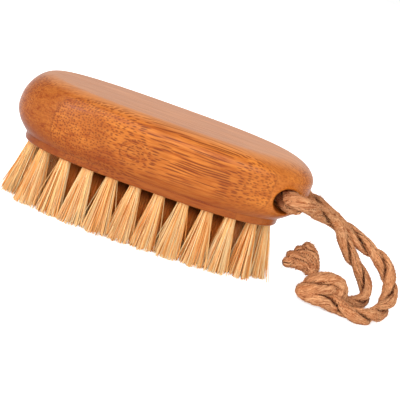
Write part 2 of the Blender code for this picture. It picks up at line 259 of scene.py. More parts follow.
def seenBare(wires):
    # Rays that see the background as plain white: the camera's, mirrored and refracted ones
    path = wires.put("ShaderNodeLightPath").outputs
    bent = wires.math("MAXIMUM", path["Is Glossy Ray"], path["Is Transmission Ray"])
    return wires.math("MAXIMUM", path["Is Camera Ray"], bent)


def makeStage():
    scene.view_settings.view_transform = "Standard"
    world = bpy.data.worlds.new("room")
    scene.world = world
    world.use_nodes = True
    wires = Wiring(world.node_tree)
    lit = world.node_tree.nodes["Background"]
    lit.inputs["Color"].default_value = (1, 1, 1, 1)
    lit.inputs["Strength"].default_value = light["room"]
    white = wires.put("ShaderNodeBackground", {0: (1, 1, 1, 1)})
    both = wires.put("ShaderNodeMixShader", {0: seenBare(wires), 1: lit.outputs[0], 2: white.outputs[0]})
    world.node_tree.links.new(both.outputs[0], world.node_tree.nodes["World Output"].inputs[0])
    for name in ("keyLight", "fillLight", "shineLight"):
        addLamp(name)
    half = light["floorSize"] / 2
    corners = [(-half, -half, 0), (half, -half, 0), (half, half, 0), (-half, half, 0)]
    mesh = bpy.data.meshes.new("floor")
    mesh.from_pydata(corners, [], [(0, 1, 2, 3)])
    floor = stand("floor", mesh)
    material, wires, shader = newMaterial("floorWhite", light["floor"])
    glow = wires.put("ShaderNodeEmission", {1: light["floorGlow"]})
    added = wires.put("ShaderNodeAddShader", {0: shader.outputs[0], 1: glow.outputs[0]})
    parts = {0: seenBare(wires), 1: shader.outputs[0], 2: added.outputs[0]}
    both = wires.put("ShaderNodeMixShader", parts).outputs[0]
    wires.feed(material.node_tree.nodes["Material Output"].inputs[0], both)
    mesh.materials.append(material)


makeStage()
print("light and floor set")


def tint(red, green, blue):
    # A colour as it shows on screen, 0 to 255, for a shader
    parts = [c / 255 for c in (red, green, blue)]
    return tuple(c / 12.92 if c <= 0.04045 else ((c + 0.055) / 1.055) ** 2.4 for c in parts) + (1,)


def makeFibreStreaks():
    # Long thin streaks along X of the place it is given, and a slow change of tone
    tree = bpy.data.node_groups.new("fibreStreaks", "ShaderNodeTree")
    addSockets(tree, "INPUT", Vector=["Place"], Float=["Across", "Along", "Patch"])
    addSockets(tree, "OUTPUT", Float=["Streak", "Tone"])
    wires = Wiring(tree)
    given = wires.put("NodeGroupInput").outputs
    size = wires.combine(given["Along"], given["Across"], given["Across"])
    fine = wires.noise(given["Place"], size, 4, 0.6, 0.3)
    broad = wires.noise(given["Place"], wires.vector("SCALE", size, Scale=0.31), 2)
    streak = wires.add(wires.times(fine, 0.65), wires.times(broad, 0.35))
    patch = wires.combine(given["Patch"], given["Patch"], given["Patch"])
    tone = wires.noise(given["Place"], patch, 2, 0.5, 0.4)
    wires.put("NodeGroupOutput", {0: wires.scaled(streak, 0.3, 0.7), 1: wires.scaled(tone, 0.3, 0.7)})
    return tree


fibreStreaks = makeFibreStreaks()


def streaksIn(wires, place, across, along, patch):
    named = {"Place": place, "Across": across, "Along": along, "Patch": patch}
    return wires.put("ShaderNodeGroup", named, node_tree=fibreStreaks).outputs


def paint(wires, shader, colour, roughness):
    wires.feed(shader.inputs["Base Color"], colour)
    wires.feed(shader.inputs["Roughness"], roughness)


def bumped(wires, shader, height, strength, distance):
    bump = wires.put("ShaderNodeBump", Strength=strength, Distance=distance, Height=height)
    wires.feed(shader.inputs["Normal"], bump.outputs[0])


# Block: laminated bamboo, a superellipse in plan with a pad stepped down under it
block = {
    "halfLength": 52.5 * mm,
    "halfWidth": 22 * mm,
    "height": 21.1 * mm,
    "foot": 23 * mm,  # underside of the block above the ground
    "exponent": 2.75,
    "around": 240,
    "rows": 84,
    "padHeight": 2.8 * mm,
    "padInsetPlainEnd": 5.4 * mm,
    "padInsetCordEnd": 7.2 * mm,
    "padLedge": 0.4 * mm,
    "padEdge": 0.7 * mm,
    "plainEndRun": 10 * mm,
    "plainEndDrop": 12 * mm,
    "cordEndRun": 13.1 * mm,
    "cordEndDrop": 6.4 * mm,
    "sideRun": 6 * mm,
    "sideDrop": 5.7 * mm,
    "footRiseEnd": 8.5 * mm,
    "footRiseSide": 3.4 * mm,
    "footInsetSide": 0.9 * mm,
    "socketRadius": 2 * mm,
    "socketDepth": 5.2 * mm,
    "socketAround": 28,
    # Shares of the rows where the pad's edge, wall and ledge, the foot, side, shoulder and top start
    "profile": (0.1, 0.15, 0.2, 0.22, 0.46, 0.5, 0.88),
    "footCurve": 1.4,
    "sharpAngle": 0.6,  # radians; steeper edges are drawn sharp
}
# The hole that the cord runs through, drilled along Y
bore = {
    "x": 44.7 * mm,
    "z": 31.2 * mm,
    "radius": 4.7 * mm,
    "rim": 0.7 * mm,
    "around": 64,
    "rimSteps": 7,
    "past": 2 * mm,  # the drill's way past the side
    "cordInside": (54 * mm, 14 * mm),  # the cord keeps within it up to this X and Y
}

# Jute cord: two plies laid right-handed, loose fibres standing off them
jute = {
    "diameter": 5 * mm,
    "farLength": 103.5,  # in millimetres, from the middle of the bore to the knot
    "nearLength": 82.8,
    # Where each strand leaves the block, in metres
    "farExit": (0.047, 0.0146, 0.0304),
    "nearExit": (0.0468, -0.0142, 0.0316),
    "knotOverlap": 0.4,  # the knot starts this far before the strands end
    "plyRadial": 1.45 * mm,
    "plyAround": 2.05 * mm,
    "plyOffset": 1.4 * mm,
    "plyFlat": 0.94,  # flatter where the plies touch
    "ringStep": 0.35 * mm,
    "around": 30,
    "fibreLay": 0.32,  # turn of the fibres round a ply, in radians a millimetre
    "ridge": 0.11 * mm,
    "ridges": ((5, 0.7), (8, 1), (13, 0.9), (21, 0.4)),  # how many round a ply, and their share
    "layDrift": (0.5, 6 * mm),  # how far the lay wanders, and over what length
    "ridgeDrift": (0.9, 5 * mm),
    "sizeDrift": (0.09, 4 * mm),
    "straightRadius": 1.8,  # of a straight ply as the material reads it, in millimetres
    "grooveShade": 0.42,  # painted shade between the yarns of a ply
    "roundOff": 1.6 * mm,  # length over which a cut end rounds off
    "boreRoom": 0.15 * mm,  # left between cord and bore
    "floorRoom": 0.05 * mm,
    "tailRough": 1.9,  # ridges of the loose plies, against the others
    "finish": {"Roughness": 0.85, "Specular IOR Level": 0.25},
    "bump": (0.8, 0.25 * mm),
    "light": tint(239, 184, 133),
    "middle": tint(205, 130, 78),
    "dark": tint(128, 54, 18),
    # colour of the painted shade in the creases between the plies
    "creaseShadeColour": tint(78, 34, 12),
}
# Loose fibres on the pieces of the cord
fuzz = {
    # How many a square metre, how long, and a seed
    "pieces": {
        "farFuzz": (0.9e6, 1.5 * mm, 31),
        "nearFuzz": (0.9e6, 1.4 * mm, 32),
        "knotFuzz": (0.6e6, 1.3 * mm, 33),
        "tailFuzz": (1.3e6, 1.7 * mm, 34),
    },
    "radius": 0.04 * mm,
    "bend": (0.3, 0.45, 0.28),  # where and how high a hair bends, and how high its tip is
    "sizes": (0.35, 1.15),
    "floorRoom": 0.03 * mm,
    "finish": {"Roughness": 0.9, "Specular IOR Level": 0.15},
}

# Centre lines in millimetres
farRoute = [
    (45.5, 0, 31), (45.8, 8, 30.9), (47, 14.6, 30.4), (51, 18.4, 29.7), (55.7, 16.6, 28.8),
    (58.2, 12.6, 28.5), (62, 8.6, 27.5), (66.1, 5.6, 26.3), (70.3, 4, 25.2), (73.8, 3.4, 23.9),
    (77, 2.9, 22.6), (80.6, 2.4, 21.2), (84.7, 1.6, 19.6), (88, 0.8, 17.4), (90, -0.6, 15),
    (91.5, -3, 12), (91.9, -5.6, 8.8), (90.8, -8.9, 5.9), (88, -12.6, 3.6), (84, -16.5, 2.7),
    (79.8, -18, 2.7), (76.6, -17.2, 2.8), (74.2, -15.6, 3),
]
nearRoute = [
    (45.5, 0, 31), (45.7, -8, 31.1), (46.8, -14.2, 31.6), (48.8, -17.4, 32.6), (51.5, -16.2, 32.7),
    (54.2, -12.6, 31.7), (57.5, -8.6, 30.2), (61.5, -4.9, 28.8), (64.6, -3, 27.4), (67.3, -1.9, 25.5),
    (69.5, -1.2, 23.2), (72, -0.6, 20.3), (74.9, 0, 17.4), (77.7, 0.5, 14.9), (80.6, 0.7, 12.5),
    (82.8, 0.3, 10), (84.3, -0.9, 7.4), (84.5, -2.6, 5), (82.6, -4.7, 3.3), (80, -6.6, 2.8),
    (77, -7.8, 3.2),
]
# The cord goes on through the knot, from just before the end of each strand
farInKnot = [
    (72.2, -16.4, 3.4), (68.9, -16.7, 3.9), (65.4, -16.3, 3.7), (62.3, -15.5, 3.6), (60.1, -14.5, 3.7),
    (58.3, -14.2, 3.6),
]
nearInKnot = [
    (73.6, -9.4, 4.4), (70.2, -10, 5.7), (66.5, -9.8, 6.6), (64.3, -8.9, 7.4), (63.2, -7.4, 8.4),
    (62.8, -6.6, 9.6),
]
wrapInKnot = [
    (71.3, -9.9, 3.2), (72.9, -11.6, 4.1), (73.8, -12.5, 5.8), (73.4, -12.7, 8.1), (71.8, -12.1, 9.6),
    (69.5, -12.2, 9.9), (67.1, -12.4, 9.4), (65, -12.5, 8.2), (63.6, -11.5, 6.4), (63.4, -10, 4.2),
    (64.3, -8.4, 2.8), (66.6, -7.7, 2.9), (69.6, -7.8, 3.9), (71.9, -9.1, 6.3),
]
bandInKnot = [
    (64, -10.5, 5.4), (61.9, -13, 5.2), (62.3, -15, 6.5), (64.6, -16.3, 8.1), (67, -16.6, 9.1),
    (69.4, -15.7, 9.7), (71.9, -13.7, 8.5), (72, -11.1, 6.8),
]
tailPlies = [
    [(62.9, -6.9, 8.2), (63.5, -6.5, 9.7), (62.9, -5, 11.6),
     (61.4, -3, 13.5), (59.3, -1.5, 14.8), (57.1, -0.7, 14.9)],
    [(62.7, -7.3, 8.3), (62.4, -6.9, 9.6), (61.5, -5.7, 11.4),
     (59.6, -4.1, 12.7), (57.2, -3, 13.2), (54.8, -2.3, 12.9)],
    [(62.4, -7.8, 8.4), (61.6, -7.3, 9.4), (59.9, -6.5, 10.7),
     (57.3, -5.6, 11.3), (54.7, -4.8, 11.3), (52.7, -4.5, 10.4)],
    [(62.1, -7.3, 8.2), (61.2, -6.8, 8.8), (59.1, -6.4, 9.7),
     (56.5, -5.9, 9.8), (54.1, -5.5, 9.1), (52, -5.4, 8.3)],
]
tailWidths = (2.2, 2.1, 2, 1.8)
# Where the plies stand, in degrees, at millimetres along each rope
farTwist = [
    (0, -330), (32.8, -32), (53.3, 173), (65, 353), (76.5, 518), (93.5, 830), (103.5, 984), (108, 1054),
    (122, 1100),
]
nearTwist = [(0, -440), (32.8, -164), (53.3, 37), (65.8, 218), (82.8, 465), (98, 620)]
wrapTwist = [(0, 40), (38, 440)]
bandTwist = [(0, -60), (22, 120)]
# How thick each rope is there, against the size above
farSizes = [
    (0, 1.68), (6, 1.42), (12, 1.36), (17, 1), (60, 1), (103, 1), (108, 1.1), (116, 1.1),
    (122, 0.92),
]
nearSizes = [
    (0, 1.68), (6, 1.42), (14, 1.38), (19, 1.18), (24, 1.06), (34, 0.95), (45, 0.86), (82, 0.86),
    (86, 0.88), (98, 0.82),
]
wrapSizes = [(0, 0.86), (8, 1.02), (26, 1.02), (38, 0.86)]
bandSizes = [(0, 0.9), (5, 1.2), (17, 1.2), (22, 0.9)]


def smoothLine(points, step):
    # An even run of points on one smooth curve through the given ones, in metres
    stops = np.array(points, float) * mm
    stops = np.vstack([2 * stops[0] - stops[1], stops, 2 * stops[-1] - stops[-2]])
    run = []
    share = np.linspace(0, 1, 40, endpoint=False)[:, None]
    for a, b, c, d in zip(stops[:-3], stops[1:-2], stops[2:-1], stops[3:]):
        squared = (2 * a - 5 * b + 4 * c - d) * share**2
        cubed = (3 * b - a - 3 * c + d) * share**3
        run.append(0.5 * (2 * b + (c - a) * share + squared + cubed))
    run = np.vstack([*run, stops[-2:-1]])
    length = np.r_[0, np.cumsum(np.linalg.norm(np.diff(run, axis=0), axis=1))]
    even = np.linspace(0, length[-1], max(int(length[-1] / step), 4) + 1)
    return np.stack([np.interp(even, length, run[:, k]) for k in range(3)], 1), even


def acrossLine(line):
    # Two directions across the line that turn with it and never flip
    ahead = np.gradient(line, axis=0)
    ahead /= np.linalg.norm(ahead, axis=1)[:, None]
    first = np.cross(np.cross(ahead[0], (0, 0, 1)), ahead[0])
    across = [first / np.linalg.norm(first)]
    for direction in ahead[1:]:
        moved = across[-1] - direction * (across[-1] @ direction)
        across.append(moved / np.linalg.norm(moved))
    return np.array(across), np.cross(ahead, across)


def slowNoise(chance, count, steps):
    # A smooth random run between -1 and 1
    stops = chance.uniform(-1, 1, max(int(steps), 2) + 3)
    return np.interp(np.linspace(0, len(stops) - 1, count), np.arange(len(stops)), stops)


def layPly(line, along, turn, radial, aroundWide, offset, chance, roundEnd, rough=1):
    # One ply as rings of points, with its place on the straight, untwisted ply
    across, other = acrossLine(line)

    def drift(name):
        amount, length = jute[name]
        return amount * slowNoise(chance, len(line), along[-1] / length)

    outward = np.cos(turn)[:, None] * across + np.sin(turn)[:, None] * other
    sideways = np.cos(turn)[:, None] * other - np.sin(turn)[:, None] * across
    theta = np.linspace(0, math.tau, jute["around"], endpoint=False)
    lay = jute["fibreLay"] * along / mm
    fibre = theta[None, :] + (lay + drift("layDrift"))[:, None]
    ridge = np.zeros_like(fibre)
    for strands, share in jute["ridges"]:
        shift = drift("ridgeDrift")
        ridge += share * np.sin(strands * fibre + chance.uniform(0, 6.28) + shift[:, None])
    size = 1 + drift("sizeDrift")
    if roundEnd:
        rest = np.clip((along[-1] - along) / jute["roundOff"], 0, 1)
        size = size * np.sqrt(np.clip(1 - (1 - rest) ** 2, 0.02, 1))
    bumps = jute["ridge"] * rough * ridge
    radialHalf = (radial * size)[:, None] + bumps
    aroundHalf = (aroundWide * size)[:, None] + bumps
    flat = np.where(np.cos(theta) < 0, jute["plyFlat"], 1)
    points = (
        line[:, None, :]
        + outward[:, None, :] * (offset[:, None] + radialHalf * np.cos(theta) * flat)[:, :, None]
        + sideways[:, None, :] * (aroundHalf * np.sin(theta))[:, :, None]
    )
    radius = jute["straightRadius"]
    length = np.repeat(along[:, None], len(theta), 1) / mm
    straight = np.stack([length, radius * np.cos(fibre), radius * np.sin(fibre)], 2)
    straight += chance.uniform(-90, 90, 3)
    # Painted shade: darker near the rope's axis, where the plies meet, and in the grooves between the
    # yarns
    fromAxis = np.linalg.norm(points - line[:, None, :], axis=2)
    paintedCreaseShade = 1 - np.clip(fromAxis / (offset + radial)[:, None], 0, 1)
    paintedCreaseShade += jute["grooveShade"] * rough * np.clip(-ridge - 0.8, 0, 1.4)
    # The cord is squeezed where it fills the bore, and lies flat on the ground
    lastX, lastY = bore["cordInside"]
    fromBore = points[:, :, ::2] - np.array((bore["x"], bore["z"]))
    room = bore["radius"] - jute["boreRoom"] + 2 * np.clip(np.abs(points[:, :, 1]) - lastY, 0, None)
    excess = np.clip(1 - room / np.linalg.norm(fromBore, axis=2), 0, None)
    inBlock = (points[:, :, 0] < lastX) & (points[:, :, 2] > block["foot"])
    points[:, :, ::2] -= fromBore * (excess * inBlock)[:, :, None]
    points[:, :, 2] = np.maximum(points[:, :, 2], jute["floorRoom"])
    return points, straight, paintedCreaseShade


def ringFaces(rings, around, start=0):
    # Quads between rings of points that follow one another
    return [
        (i + j, i + (j + 1) % around, i + around + (j + 1) % around, i + around + j)
        for i in range(start, start + (rings - 1) * around, around)
        for j in range(around)
    ]


def tubeMesh(name, tubes):
    # Rings of points become closed tubes in one mesh
    verts, places, paintedCreaseShades, faces = [], [], [], []
    for points, straight, paintedCreaseShade in tubes:
        rings, around = points.shape[:2]
        start = len(verts)
        for whole, part in ((verts, points), (places, straight), (paintedCreaseShades, paintedCreaseShade[:, :, None])):
            whole += part.reshape(rings * around, -1).tolist()
            whole += [part[ring].mean(0).tolist() for ring in (0, -1)]
        faces += ringFaces(rings, around, start)
        centre = start + rings * around
        last = centre - around
        faces += [(start + (j + 1) % around, start + j, centre) for j in range(around)]
        faces += [(last + j, last + (j + 1) % around, centre + 1) for j in range(around)]
    mesh = bpy.data.meshes.new(name)
    mesh.from_pydata(verts, [], faces)
    mesh.attributes.new("straight", "FLOAT_VECTOR", "POINT").data.foreach_set("vector", np.ravel(places))
    mesh.attributes.new("paintedCreaseShade", "FLOAT", "POINT").data.foreach_set("value", np.ravel(paintedCreaseShades))
    mesh.shade_smooth()
    return mesh


def ropeTubes(points, twist, sizes, seed, slack=0, roundEnd=False):
    # The two plies of a rope on one line; slack makes them rounder and the painted shade in their
    # creases lighter
    chance = np.random.default_rng(seed)
    line, along = smoothLine(points, jute["ringStep"])
    turn = np.radians(np.interp(along / mm, *np.array(twist, float).T))
    size = np.interp(along / mm, *np.array(sizes, float).T)
    radial = jute["plyRadial"] * size * (1 + 0.12 * slack)
    aroundWide = jute["plyAround"] * size * (1 - 0.1 * slack)
    offset = jute["plyOffset"] * size
    tubes = []
    for half in (0, np.pi):
        ply = layPly(line, along, turn + half, radial, aroundWide, offset, chance, roundEnd)
        tubes.append((ply[0], ply[1], ply[2] * (1 - 0.4 * slack)))
    return tubes, line, along


def makeJute():
    material, wires, shader = newMaterial("jute", jute["finish"])
    scaled = wires.scaled
    place, paintedCreaseShade = wires.stored("straight", "Vector"), wires.stored("paintedCreaseShade")
    streak, tone = streaksIn(wires, place, 1.7, 0.3, 0.22)
    hairs = wires.noise(place, (0.7, 4.2, 4.2), 3, 0.65, 0.4)
    flecks = wires.noise(place, (0.9, 2.2, 2.2), 1, 0.5, 0.6)
    layers = [
        (scaled(tone, 0, 1, 0.15, 0.7), "middle"),
        (scaled(hairs, 0.52, 0.72, 0, 0.55), "light"),
        (scaled(hairs, 0.44, 0.3, 0, 0.75), "dark"),
        (scaled(flecks, 0.56, 0.68, 0, 0.6), "light"),
        (scaled(flecks, 0.44, 0.33, 0, 0.6), "dark"),
        # painted shade in the creases between the plies and between the yarns
        (scaled(paintedCreaseShade, 0.3, 0.62, 0, 0.9, True), "creaseShadeColour"),
    ]
    ground = wires.mix(scaled(streak, 0.15, 0.85), jute["dark"], jute["light"])
    paint(wires, shader, wires.layered(ground, jute, layers), scaled(streak, 0, 1, 0.95, 0.72))
    height = wires.add(wires.times(streak, 0.7), wires.times(hairs, 0.5))
    bumped(wires, shader, height, *jute["bump"])
    return material


def makeHairMaterial():
    material, wires, shader = newMaterial("juteFuzz", fuzz["finish"])
    tone = wires.scaled(wires.noise(wires.inMillimetres(), (0.9, 0.9, 0.9), 2), 0.35, 0.65)
    wires.feed(shader.inputs["Base Color"], wires.mix(tone, jute["middle"], jute["light"]))
    return material


def tubeAlong(wires, curve, radius, scale=1):
    # A three-sided closed tube along a curve, for anything as thin as a hair
    ring = wires.shape("CurvePrimitiveCircle", Resolution=3, Radius=radius, mode="RADIUS")
    inputs = {"Curve": curve, "Profile Curve": ring, "Fill Caps": True, "Scale": scale}
    return wires.shape("CurveToMesh", inputs)


def fuzzTree():
    floats = ["Density", "Length", "Radius"]
    wires, given = geometryTree("looseFibres", "Cord", Float=floats, Int=["Seed"])
    times = wires.times
    kind = "GeometryNodeDistributePointsOnFaces"
    spots = wires.put(kind, Mesh=given["Cord"], Density=given["Density"], Seed=given["Seed"]).outputs
    # One bent hair, spun and sized at random on every spot
    length = given["Length"]
    out, high, tipHigh = fuzz["bend"]
    middle = wires.combine(times(length, out), 0, times(length, high))
    tip = wires.combine(length, 0, times(length, tipHigh))
    line = wires.shape("CurveQuadraticBezier", Resolution=5, Start=(0, 0, 0), Middle=middle, End=tip)
    hair = tubeAlong(wires, line, given["Radius"])
    spin = wires.combine(0, 0, wires.drawn(0, 6.283, Seed=5))
    spin = wires.put("FunctionNodeEulerToRotation", {0: spin}).outputs[0]
    both = {0: spots["Rotation"], 1: spin}
    turn = wires.put("FunctionNodeRotateRotation", both, rotation_space="LOCAL").outputs[0]
    named = {"Points": spots["Points"], "Instance": hair, "Scale": wires.drawn(*fuzz["sizes"], Seed=8)}
    placed = wires.shape("InstanceOnPoints", named, Rotation=turn)
    # None reaches under the ground
    real = wires.shape("RealizeInstances", {0: placed})
    x, y, z = wires.separate(wires.shape("InputPosition"))
    above = wires.combine(x, y, wires.math("MAXIMUM", z, fuzz["floorRoom"]))
    real = wires.shape("SetPosition", Geometry=real, Position=above)
    return closeTree(wires, real, given)


juteMaterial = makeJute()
fuzzMaterial = makeHairMaterial()
looseFibres = fuzzTree()


def addFuzz(name, thing):
    density, length, seed = fuzz["pieces"][name]
    values = {"Density": density, "Length": length, "Radius": fuzz["radius"], "Seed": seed}
    values["Material"] = fuzzMaterial
    return addPiece(grow(name, looseFibres, values, thing.data.copy()), fuzzMaterial)


def tailTubes():
    # The cord's end: its plies come apart, puff up past the knot and narrow again
    tubes = []
    for number, (points, wide) in enumerate(zip(tailPlies, tailWidths)):
        chance = np.random.default_rng(50 + number)
        line, along = smoothLine(points, 0.3 * mm)
        halves = np.array((1.25, 1.5, wide, wide, wide * 0.8)) * mm
        half = np.interp(along / along[-1], (0, 0.2, 0.5, 0.85, 1), halves)
        turn = np.linspace(0, 0.8, len(line)) + number * 2
        tubes.append(layPly(line, along, turn, half, half, half * 0, chance, True, jute["tailRough"]))
    return tubes


def addRope(name, tubes, replaced):
    return addPiece(stand(name, tubeMesh(name, tubes)), juteMaterial, [replaced])


def makeCord():
    # Each strand and its way through the knot are one rope, cut where the strand meets the knot
    farLength, nearLength, overlap = jute["farLength"], jute["nearLength"], jute["knotOverlap"]
    farRope = ropeTubes(farRoute + farInKnot, farTwist, farSizes, 21, roundEnd=True)
    nearRope = ropeTubes(nearRoute + nearInKnot, nearTwist, nearSizes, 22)

    def cut(rope, low, high=math.inf):
        tubes, _, along = rope
        keep = (along >= low * mm) & (along <= high * mm)
        return [[part[keep] for part in tube] for tube in tubes]

    far = addRope("farStrand", cut(farRope, 0, farLength), "cord_far_strand")
    near = addRope("nearStrand", cut(nearRope, 0, nearLength), "cord_near_strand")
    inKnot = cut(farRope, farLength - overlap) + cut(nearRope, nearLength - overlap)
    inKnot += ropeTubes(wrapInKnot, wrapTwist, wrapSizes, 23, slack=0.5)[0]
    inKnot += ropeTubes(bandInKnot, bandTwist, bandSizes, 24, slack=1)[0]
    knot = addRope("cordKnot", inKnot, "cord_knot")
    tail = addRope("cordTail", tailTubes(), "cord_tail")
    farFuzz, nearFuzz, knotFuzz, tailFuzz = map(addFuzz, fuzz["pieces"], (far, near, knot, tail))
    for piece, mouth, length, (_, line, along), extra in (
        (far, jute["farExit"], farLength, farRope, [knot, tail, farFuzz, knotFuzz, tailFuzz]),
        (near, jute["nearExit"], nearLength, nearRope, [nearFuzz]),
    ):
        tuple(mouth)
        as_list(extra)


makeCord()
print("cord, knot and tail made")

# Bamboo: its grain in millimetres, and colours as they show on screen
bamboo = {
    "strip": 4.5,  # thickness of a lamination
    "seam": 0.035,  # half a glue line, as a share of a strip
    "bundleSpacing": 0.82,  # between vascular bundles
    "bundleSize": (0.35, 0.29),  # a bundle over the spacing, pith side and skin side
    "slants": (-0.06, -0.6, 0.34),  # rise of the bundles with X: all along, plain end, cord end
    "bends": (-14, 27, 12),  # where the end slants set in, and how gently
    "scatter": 0.75,  # at 0 the bundles stand in even rows
    "stripShifts": (3.7, 1.9, 9),  # of the bundles and the streaks, from strip to strip
    "knotPlace": (-9.5, 31.5),  # the culm's joint, X and Z
    "knotSize": (4.6, 4.2),
    "knotBow": 2.4,
    # From and to in X, Y or Z, then the strength at each, and True where it eases in
    "plainEnd": (-10, -22, 0, 0.2),
    "cordEnd": (24, 34, 0, 0.4),
    "paleEnd": (18, 34, 0, 0.26, True),
    "endGrain": (-34, -48, 0, 0.25, True),
    "scarSide": (-7, -9.5),
    "nearFace": (-18, -20),
    "lowBand": (25, 29),  # plain wood low on the side
    "lowFade": (-15, 5, 1, 0.25),  # more of it towards the cord end
    "lowTone": (31, 23, 0, 0.6, True),
    # the bundles fade on the top face: painted sheen
    "topSheenFade": (42.5, 44, 1, 0.12),
    # painted sheen: the top face turns paler from here up
    "paintedTopSheenFrom": (41.5, 43.8, 0, 0.55, True),
    "finish": {"Roughness": 0.42, "Specular IOR Level": 0.1, "Coat Weight": 0.3, "Coat Roughness": 0.27},
    "bump": (0.25, 0.1 * mm),
    "pale": tint(217, 130, 48),
    "middle": tint(173, 83, 12),
    "deep": tint(126, 50, 0),
    "bundle": tint(116, 46, 1),
    # colour of the painted sheen on the top face
    "paintedTopSheen": tint(222, 148, 88),
    "glue": tint(120, 54, 10),
}

blockInputs = [key for key in block if key not in ("around", "rows", "socketAround", "profile")]


def blockTree():
    floats = map(labelOf, blockInputs)
    wires, given = geometryTree("bambooBlock", "Socket places", Float=floats, Object=["Bore"])
    m, add, less, times, over = wires.sums
    size = {"Size X": 1, "Size Y": 1, "Vertices X": block["around"] + 1, "Vertices Y": block["rows"] + 1}
    sheet = wires.shape("MeshGrid", size)
    x, y, _ = wires.separate(wires.shape("InputPosition"))
    angle = times(add(x, 0.5), math.tau)
    row = add(y, 0.5)
    # Up the profile: pad face, pad edge, pad wall, ledge, curved foot, side, shoulder, top face
    padEdge, padWall, ledge, foot, side, shoulderRow, topFace = block["profile"]

    def stage(low, high, top=1):
        return wires.scaled(row, low, high, 0, top)

    edge = stage(padEdge, padWall, math.pi / 2)
    edgeInset = times(given["Pad edge"], less(1, m("SINE", edge)))
    edgeRise = times(given["Pad edge"], less(1, m("COSINE", edge)))
    wallRise = times(stage(padWall, ledge), less(given["Pad height"], given["Pad edge"]))
    onBody = stage(ledge, foot)
    footPart = times(m("POWER", stage(foot, side), given["Foot curve"]), given["Foot rise end"])
    sideTop = less(given["Height"], given["Plain end drop"])
    sidePart = times(stage(side, shoulderRow), less(sideTop, given["Foot rise end"]))
    shoulder = times(m("SINE", stage(shoulderRow, topFace, math.pi / 2)), given["Plain end drop"])
    rise = add(footPart, sidePart, shoulder)

    def footShare(height):
        return m("POWER", less(1, m("DIVIDE", rise, height, clamp=True)), 2)

    def topShare(drop):
        share = m("DIVIDE", less(rise, less(given["Height"], drop)), drop, clamp=True)
        return less(1, m("SQRT", m("SUBTRACT", 1, times(share, share), clamp=True)))

    def reach(full, footInset, footHeight, run, drop):
        size = less(full, times(footInset, footShare(footHeight)))
        size = less(size, times(run, topShare(drop)))
        size = less(size, times(given["Pad ledge"], less(1, onBody)))
        return less(size, edgeInset)

    def endReach(end):
        inset = less(given[f"Pad inset {end} end"], given["Pad ledge"])
        run, drop = given[f"{end.capitalize()} end run"], given[f"{end.capitalize()} end drop"]
        return reach(given["Half length"], inset, given["Foot rise end"], run, drop)

    plain, corded = endReach("plain"), endReach("cord")
    sideInset, sideRise = given["Foot inset side"], given["Foot rise side"]
    wide = reach(given["Half width"], sideInset, sideRise, given["Side run"], given["Side drop"])
    power = over(2, given["Exponent"])

    def rounded(wave):
        return times(m("SIGN", wave), m("POWER", m("ABSOLUTE", wave), power))

    cosine, sine = m("COSINE", angle), m("SINE", angle)
    atCord = m("GREATER_THAN", cosine, 0)
    long = add(times(corded, atCord), times(plain, less(1, atCord)))
    shrink = m("MINIMUM", stage(0, padEdge), less(1, stage(topFace, 1)))
    level = add(less(given["Foot"], given["Pad height"]), add(edgeRise, wallRise, rise))
    outX, outY = times(long, rounded(cosine), shrink), times(wide, rounded(sine), shrink)
    place = wires.combine(outX, outY, level)
    shell = wires.shape("SetPosition", Geometry=sheet, Position=place)
    solid = wires.shape("MergeByDistance", Geometry=shell, Distance=0.001 * mm)
    # The socket drills stand on the points that the tree is given
    depth = times(given["Socket depth"], 2)
    around, radius = block["socketAround"], given["Socket radius"]
    drill = wires.shape("MeshCylinder", Vertices=around, Radius=radius, Depth=depth)
    drills = wires.shape("InstanceOnPoints", Points=given["Socket places"], Instance=drill)
    borer = wires.put("GeometryNodeObjectInfo", Object=given["Bore"]).outputs["Geometry"]
    for tool in (borer, drills):
        inputs = {"Mesh 1": solid, "Mesh 2": tool}
        solid = wires.shape("MeshBoolean", inputs, operation="DIFFERENCE", solver="MANIFOLD")
    soft = wires.shape("SetShadeSmooth", {"Geometry": solid, "Shade Smooth": True})
    steep = m("GREATER_THAN", wires.shape("InputMeshEdgeAngle"), given["Sharp angle"])
    inputs = {"Geometry": soft, "Selection": steep, "Shade Smooth": False}
    return closeTree(wires, wires.shape("SetShadeSmooth", inputs, domain="EDGE"), given)


def sideAt(x, z):
    # Half width of the block at a length and a height, as the tree makes it
    rise = z - block["foot"]
    foot = (1 - np.minimum(rise / block["footRiseEnd"], 1)) ** 2
    footSide = (1 - np.minimum(rise / block["footRiseSide"], 1)) ** 2
    top = np.clip((rise - (block["height"] - block["cordEndDrop"])) / block["cordEndDrop"], 0, 1)
    long = block["halfLength"] - (block["padInsetCordEnd"] - block["padLedge"]) * foot
    long = long - block["cordEndRun"] * (1 - np.sqrt(1 - top**2))
    wide = block["halfWidth"] - block["footInsetSide"] * footSide
    share = np.clip(np.abs(x) / long, 0, 1) ** block["exponent"]
    return wide * (1 - share) ** (1 / block["exponent"])


def makeBoreCutter():
    # A drill along Y whose ends flare with the curved side, so the rim of the hole is eased
    theta = np.linspace(0, math.tau, bore["around"], endpoint=False)
    flare = []
    for share in np.linspace(0, 1, bore["rimSteps"]):
        out = bore["rim"] * (1 - math.cos(share * math.pi / 2))
        into = bore["rim"] * (1 - math.sin(share * math.pi / 2))
        x = bore["x"] + (bore["radius"] + out) * np.cos(theta)
        z = bore["z"] + (bore["radius"] + out) * np.sin(theta)
        flare.append(np.stack([x, sideAt(x, z) - into, z], 1))
    flare.append(flare[-1] + (0, bore["past"], 0))
    rings = [ring * (1, -1, 1) for ring in flare[::-1]] + flare
    count = bore["around"]
    verts = np.vstack(rings)
    faces = ringFaces(len(rings), count)
    faces += [tuple(range(count))[::-1], tuple(range(len(verts) - count, len(verts)))]
    mesh = bpy.data.meshes.new("boreCutter")
    mesh.from_pydata(verts.tolist(), [], faces)
    mesh.flip_normals()
    return stand("boreCutter", mesh)


